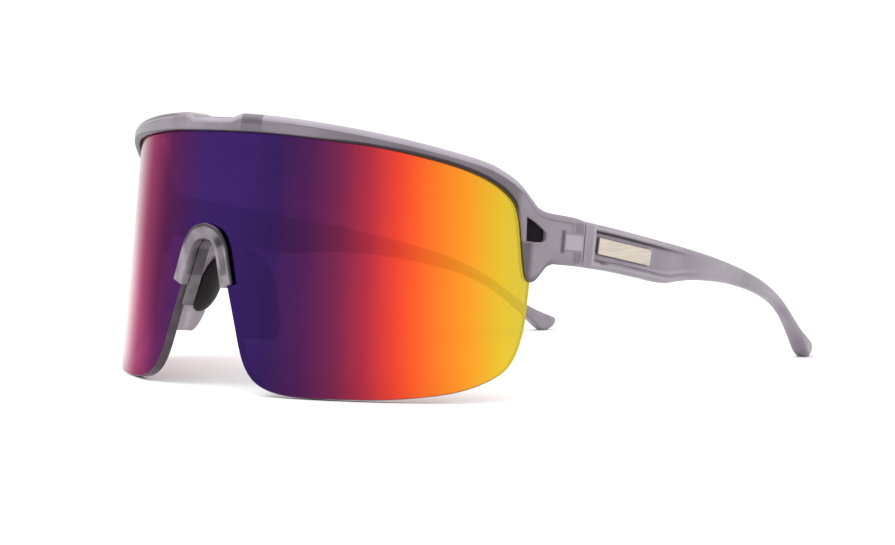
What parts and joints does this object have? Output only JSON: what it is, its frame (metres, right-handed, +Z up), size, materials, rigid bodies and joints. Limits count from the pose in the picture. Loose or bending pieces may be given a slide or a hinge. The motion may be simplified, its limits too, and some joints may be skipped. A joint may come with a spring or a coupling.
{
  "type": "wraparound sport sunglasses",
  "caption": "Half-rim wraparound sport sunglasses: one cylindrical mirrored shield lens under a brow frame, a clipped nose piece with soft pads, and two folding arms that drop to padded tips.",
  "frame": {"origin": "on the ground under the middle of the glasses, at the bottom centre of their box as they stand open on the lens and the arm tips", "axes": "+X to the wearer's left, +Y from the lens back along the arms, +Z up"},
  "size_m": [0.1328, 0.1592, 0.0592],
  "materials": {
    "frame_plastic": "satin translucent smoke-grey nylon",
    "lens_mirror": "polished polycarbonate with a red to orange mirror coat",
    "nose_plastic": "glossy translucent grey",
    "pad_rubber": "matt soft rubber",
    "hinge_plastic": "smooth translucent grey nylon",
    "screw_steel": "bright turned steel",
    "nut_brass": "plain brass",
    "badge_metal": "satin warm silver, blank"
  },
  "bodies": {
    "front": {"brow_frame": "frame_plastic", "shield_lens": "lens_mirror", "nose_saddle": "nose_plastic", "nose_carrier": "nose_plastic", "nose_pad_left": "pad_rubber", "nose_pad_right": "pad_rubber", "hinge_tongue_left": "hinge_plastic", "hinge_tongue_right": "hinge_plastic"},
    "temple_left": {"temple_arm_left": "frame_plastic", "badge_left": "badge_metal", "hinge_screw_left": "screw_steel", "hinge_nut_left": "nut_brass"},
    "temple_right": {"temple_arm_right": "frame_plastic", "badge_right": "badge_metal", "hinge_screw_right": "screw_steel", "hinge_nut_right": "nut_brass"}
  },
  "joints": [
    {"name": "fold_left", "type": "hinge", "parent": "front", "child": "temple_left", "pos_m": [0.06152, -0.03122, 0.0328], "axis": [0, 0.1097, 0.994], "range_deg": [0, 85]},
    {"name": "fold_right", "type": "hinge", "parent": "front", "child": "temple_right", "pos_m": [-0.06152, -0.03122, 0.0328], "axis": [0, -0.1097, -0.994], "range_deg": [0, 74]}
  ]
}
